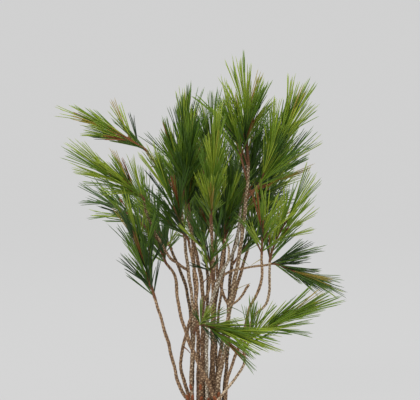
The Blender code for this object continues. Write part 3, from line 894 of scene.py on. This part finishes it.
def deal_tones(mix, along, draw):
    """A tone for each fascicle: the younger ones near the tip are brighter."""
    weights = np.array(MIXES[mix])
    chance = np.cumsum(weights / weights.sum())
    pick = draw.random(len(along))
    living = chance[TONES.index(DARKEST_LIVING_TONE)]
    brighter = np.clip(pick - (along - 0.5) * TIP_BRIGHTER, 0, living - 1e-6)
    pick = np.where(pick < living, brighter, pick)
    return np.searchsorted(chance, pick).clip(0, len(TONES) - 1)


def needle_faces():
    """The triangles of one needle: bands between its rings, its tip, and the cap at its foot."""
    corners = NEEDLE_CORNERS
    faces = []
    for ring in range(len(NEEDLE_RINGS) - 1):
        for corner in range(corners):
            a, b = ring * corners + corner, ring * corners + (corner + 1) % corners
            faces += [(a, b, b + corners), (a, b + corners, a + corners)]
    last = corners * (len(NEEDLE_RINGS) - 1)
    faces += [(last + c, last + (c + 1) % corners, last + corners) for c in range(corners)]
    return np.array([*faces, (2, 1, 0)])


def needle_mesh(roots, ways, lengths, tones, draw):
    """(vertices, faces, slots) of the needles of these fascicles, each curved and three-sided."""
    count = NEEDLES_IN_FASCICLE
    roots, ways = np.repeat(roots, count, 0), np.repeat(ways, count, 0)
    lengths, tones = np.repeat(lengths, count), np.repeat(tones, count)
    needles = len(roots)
    turn = np.tile(np.arange(count) * math.tau / count, needles // count)
    turn = turn + draw.uniform(-NEEDLE_TURN_JITTER, NEEDLE_TURN_JITTER, needles)
    splay = SPLAY * draw.uniform(*SPLAY_RANGE, needles)
    out = around(*across(ways), turn)
    ways = unit(leaning(ways, out, splay))
    lengths = lengths * draw.uniform(*NEEDLE_LENGTH_RANGE, needles)
    curl = draw.normal(0, CURL_WANDER, (needles, 3)) + out * CURL * CURL_OUT_SHARE
    curl = curl - np.array([0, 0, DROOP])
    u, v = across(ways)
    rings = []
    for share, girth in NEEDLE_RINGS:
        centre = roots + (ways * share + curl * share**2) * lengths[:, None]
        for corner in range(NEEDLE_CORNERS):
            spoke = around(u, v, corner * math.tau / NEEDLE_CORNERS + turn)
            rings.append(centre + spoke * NEEDLE_RADIUS * girth)
    rings.append(roots + (ways + curl) * lengths[:, None])
    vertices = np.stack(rings, 1)
    one = needle_faces()
    faces = (np.arange(needles)[:, None, None] * vertices.shape[1] + one[None]).reshape(-1, 3)
    slots = np.repeat(tones[:, None], len(one), 1)
    slots[:, :SHEATH_FACES] = TONES.index(SHEATH_TONE)
    return vertices.reshape(-1, 3), faces, slots.ravel()


def bud(shoot, draw):
    """(vertices, faces) of a slender pointed bud at the shoot's tip."""
    tip, heading = at_shares(shoot, 1.0)
    length = draw.uniform(*BUD_LENGTHS)
    path = tip[0] + heading[0] * np.linspace(-BUD_SINK, length, len(BUD_RADII))[:, None]
    return tube(path, np.array(BUD_RADII), TWIG_SIDES, 0.0)[:2]


def shoots_of(mass, number, paths, draw):
    """(path, radii, fascicles, bare share, needle length) of a mass's twig and its side shoots."""
    twig, radii = twig_path(mass, paths)
    shoots = [(twig, radii, mass.sprays * FASCICLES_PER_SPRAY, mass.bare, mass.length)]
    leafy = lengths_along(twig)[-1] * (1 - mass.bare)
    for k in range(SIDE_SHOOTS):
        share = mass.bare + (1 - mass.bare) * (SIDE_FIRST + SIDE_REACH * k / SIDE_SHOOTS)
        size = leafy * SIDE_SHARE * draw.uniform(*SIDE_SHARE_RANGE)
        side = side_shoot(twig, share, size, k * GOLDEN_ANGLE + number, draw)
        girths = tapered(side, SIDE_GIRTHS)
        shoots.append((side, girths, SIDE_FASCICLES, SIDE_BARE, mass.length * SIDE_NEEDLE_SHARE))
    return shoots


def build_masses(paths, looks):
    """The needles of every mass, each for its own node, and one piece with the twigs and buds."""
    twigs = []
    for number, (name, mass) in enumerate(MASSES.items()):
        draw = np.random.default_rng([SEED, number])
        style = STYLES.get(name, USUAL_STYLE)
        needles = []
        for path, girth, count, bare, length in shoots_of(mass, number, paths, draw):
            vertices, faces, _ = tube(path, girth, TWIG_SIDES, TWIG_PEG_HEIGHT)
            twigs.append((vertices, faces, np.zeros(len(faces), int)))
            vertices, faces = bud(path, draw)
            twigs.append((vertices, faces, np.ones(len(faces), int)))
            count = round(count * style.density)
            roots, ways, sizes, along = fascicles(path, count, bare, length, style.spread, draw)
            tones = deal_tones(style.mix, along, draw)
            needles.append(needle_mesh(roots, ways, sizes, tones, draw))
        obj = mesh_object("foliage_" + name, *gather(needles), [looks[tone] for tone in TONES])
        dress(obj, "needles", "needles_" + name)
    obj = mesh_object("twigs", *gather(twigs), [looks["twig"], looks["bud"]])
    dress(obj, "bark")


def on_limb(path, across_mm, up_mm):
    """The place in the path nearest to this one as the viewer sees it."""
    far = (path[:, 0] - across_mm) ** 2 + (path[:, 2] - up_mm) ** 2
    return path[int(np.argmin(far))]


def small_bit(limb_path, kind, depth, course):
    """(vertices, faces) of a dead twig or a caught needle that starts inside a limb."""
    foot = on_limb(limb_path, *course[0])
    there = [foot, *(np.array([x, foot[1] + depth, z]) for x, z in course[1:])]
    path = smooth_path(there, TWIG_STEP)
    if kind == "twig":
        return tube(path, tapered(path, DEAD_TWIG_GIRTHS), TWIG_SIDES, DEAD_TWIG_PEG_HEIGHT)[:2]
    return tube(path, tapered(path, CAUGHT_NEEDLE_GIRTHS), NEEDLE_CORNERS, 0.0)[:2]


def flake_faces(rows, columns):
    """The triangles of a flake: its face, the back of it, and the rim between them."""
    under = rows * columns
    faces = []
    for row in range(rows - 1):
        for column in range(columns - 1):
            a, b = row * columns + column, row * columns + column + 1
            c, d = b + columns, a + columns
            faces += [(a, b, c), (a, c, d)]
            faces += [(under + a, under + c, under + b), (under + a, under + d, under + c)]
    lower, upper = list(range(columns)), list(range(under - columns, under))
    right = [row * columns + columns - 1 for row in range(1, rows - 1)]
    left = [row * columns for row in range(1, rows - 1)]
    rim = lower + right + upper[::-1] + left[::-1]
    for a, b in zip(rim, rim[1:] + rim[:1]):
        faces += [(a, under + b, b), (a, under + a, under + b)]
    return np.array(faces)


def flake(path, radii, share, turn):
    """(vertices, faces) of a scale of bark that has come loose at its upper end."""
    place, heading = at_shares(path, share)
    u, v = across(heading)
    out = (u * math.cos(turn) + v * math.sin(turn))[0]
    side = np.cross(heading[0], out)
    radius = float(np.interp(share, np.linspace(0, 1, len(radii)), radii))
    rows = len(FLAKE_ROWS)
    face_side, bark_side = [], []
    for row, width in enumerate(FLAKE_ROWS):
        up = row / (rows - 1)
        along = (up - 0.5) * FLAKE_LENGTH
        lift = radius + FLAKE_GAP + FLAKE_LIFT * up**2
        half = FLAKE_WIDTH * width / 2
        for column in FLAKE_COLUMNS:
            spot = place[0] + heading[0] * along + side * half * column
            spot = spot + out * (lift - FLAKE_ARCH * column**2)
            face_side.append(spot)
            bark_side.append(spot - out * FLAKE_THICKNESS)
    return np.array(face_side + bark_side), flake_faces(rows, len(FLAKE_COLUMNS))


def build_small_bits(paths, looks):
    """Dead twigs, caught needles and bark flakes, each held by the limb that it is named with."""
    made = []
    for limb, kind, depth, *course in SMALL_BITS:
        made.append((kind, small_bit(paths[limb][0], kind, depth, course)))
    for limb, share, turn in FLAKES:
        made.append(("flake", flake(*paths[limb], share, turn)))
    pieces = []
    for kind, (vertices, faces) in made:
        pieces.append((vertices, faces, np.full(len(faces), SMALL_BIT_LOOKS.index(kind))))
    obj = mesh_object("small_bits", *gather(pieces), [looks[kind] for kind in SMALL_BIT_LOOKS])
    dress(obj, "bark")


def paper_material():
    """Matt studio paper that glows a little, so that it looks as even as the photo's ground."""
    material, shader = new_material("pale paper", PAPER_COLOUR, 1.0)
    shader.inputs["Emission Color"].default_value = (*linear(PAPER_GLOW_COLOUR), 1)
    shader.inputs["Emission Strength"].default_value = PAPER_GLOW
    shader.inputs["Specular IOR Level"].default_value = 0
    return material


def build_stage():
    """A pale floor that curves up far from the plant, so that no edge shows behind it."""
    shape = bmesh.new()
    corners = [shape.verts.new((radius, 0, height)) for radius, height in FLOOR_PROFILE]
    for a, b in zip(corners, corners[1:]):
        shape.edges.new((a, b))
    outline = [*shape.verts, *shape.edges]
    turn = {"cent": (0, 0, 0), "axis": (0, 0, 1), "angle": math.tau}
    bmesh.ops.spin(shape, geom=outline, steps=FLOOR_STEPS, use_merge=True, **turn)
    bmesh.ops.remove_doubles(shape, verts=shape.verts, dist=FLOOR_WELD)
    mesh = bpy.data.meshes.new("studio floor")
    shape.to_mesh(mesh)
    shape.free()
    mesh.shade_smooth()
    mesh.materials.append(paper_material())
    floor = add_object("studio_floor", mesh)


def build_lights():
    """Even light from all round, with three large soft lamps."""
    world = bpy.data.worlds.new("studio")
    bpy.context.scene.world = world
    world.use_nodes = True
    background = world.node_tree.nodes["Background"]
    background.inputs["Color"].default_value = (1, 1, 1, 1)
    background.inputs["Strength"].default_value = WORLD_LIGHT
    for name, (place, side, power) in LAMPS.items():
        lamp = bpy.data.lights.new(name, "AREA")
        lamp.shape = "SQUARE"
        lamp.size = side
        lamp.energy = power
        obj = add_object(name, lamp)
        obj.location = place
        obj.rotation_euler = (VIEW_AIM - Vector(place)).to_track_quat("-Z", "Y").to_euler()


def build_camera():
    """The camera at the photograph's viewpoint, with the colours shown as they are."""
    camera = bpy.data.cameras.new("photograph")
    camera.sensor_width = SENSOR
    camera.lens = SENSOR * VIEW_DISTANCE / (PHOTO_WIDTH * MM_PER_PIXEL * MM)
    camera.clip_end = VIEW_END
    obj = add_object("photograph", camera)
    forward = Vector((0, math.cos(VIEW_DOWN), -math.sin(VIEW_DOWN)))
    obj.location = VIEW_AIM - forward * VIEW_DISTANCE
    obj.rotation_euler = forward.to_track_quat("-Z", "Y").to_euler()
    bpy.context.scene.camera = obj
    bpy.context.scene.view_settings.view_transform = "Standard"


build_camera()
build_lights()
build_stage()
looks = make_materials()
paths = limb_paths()
build_trunk(looks)
build_limbs(paths, looks)
build_masses(paths, looks)
build_small_bits(paths, looks)
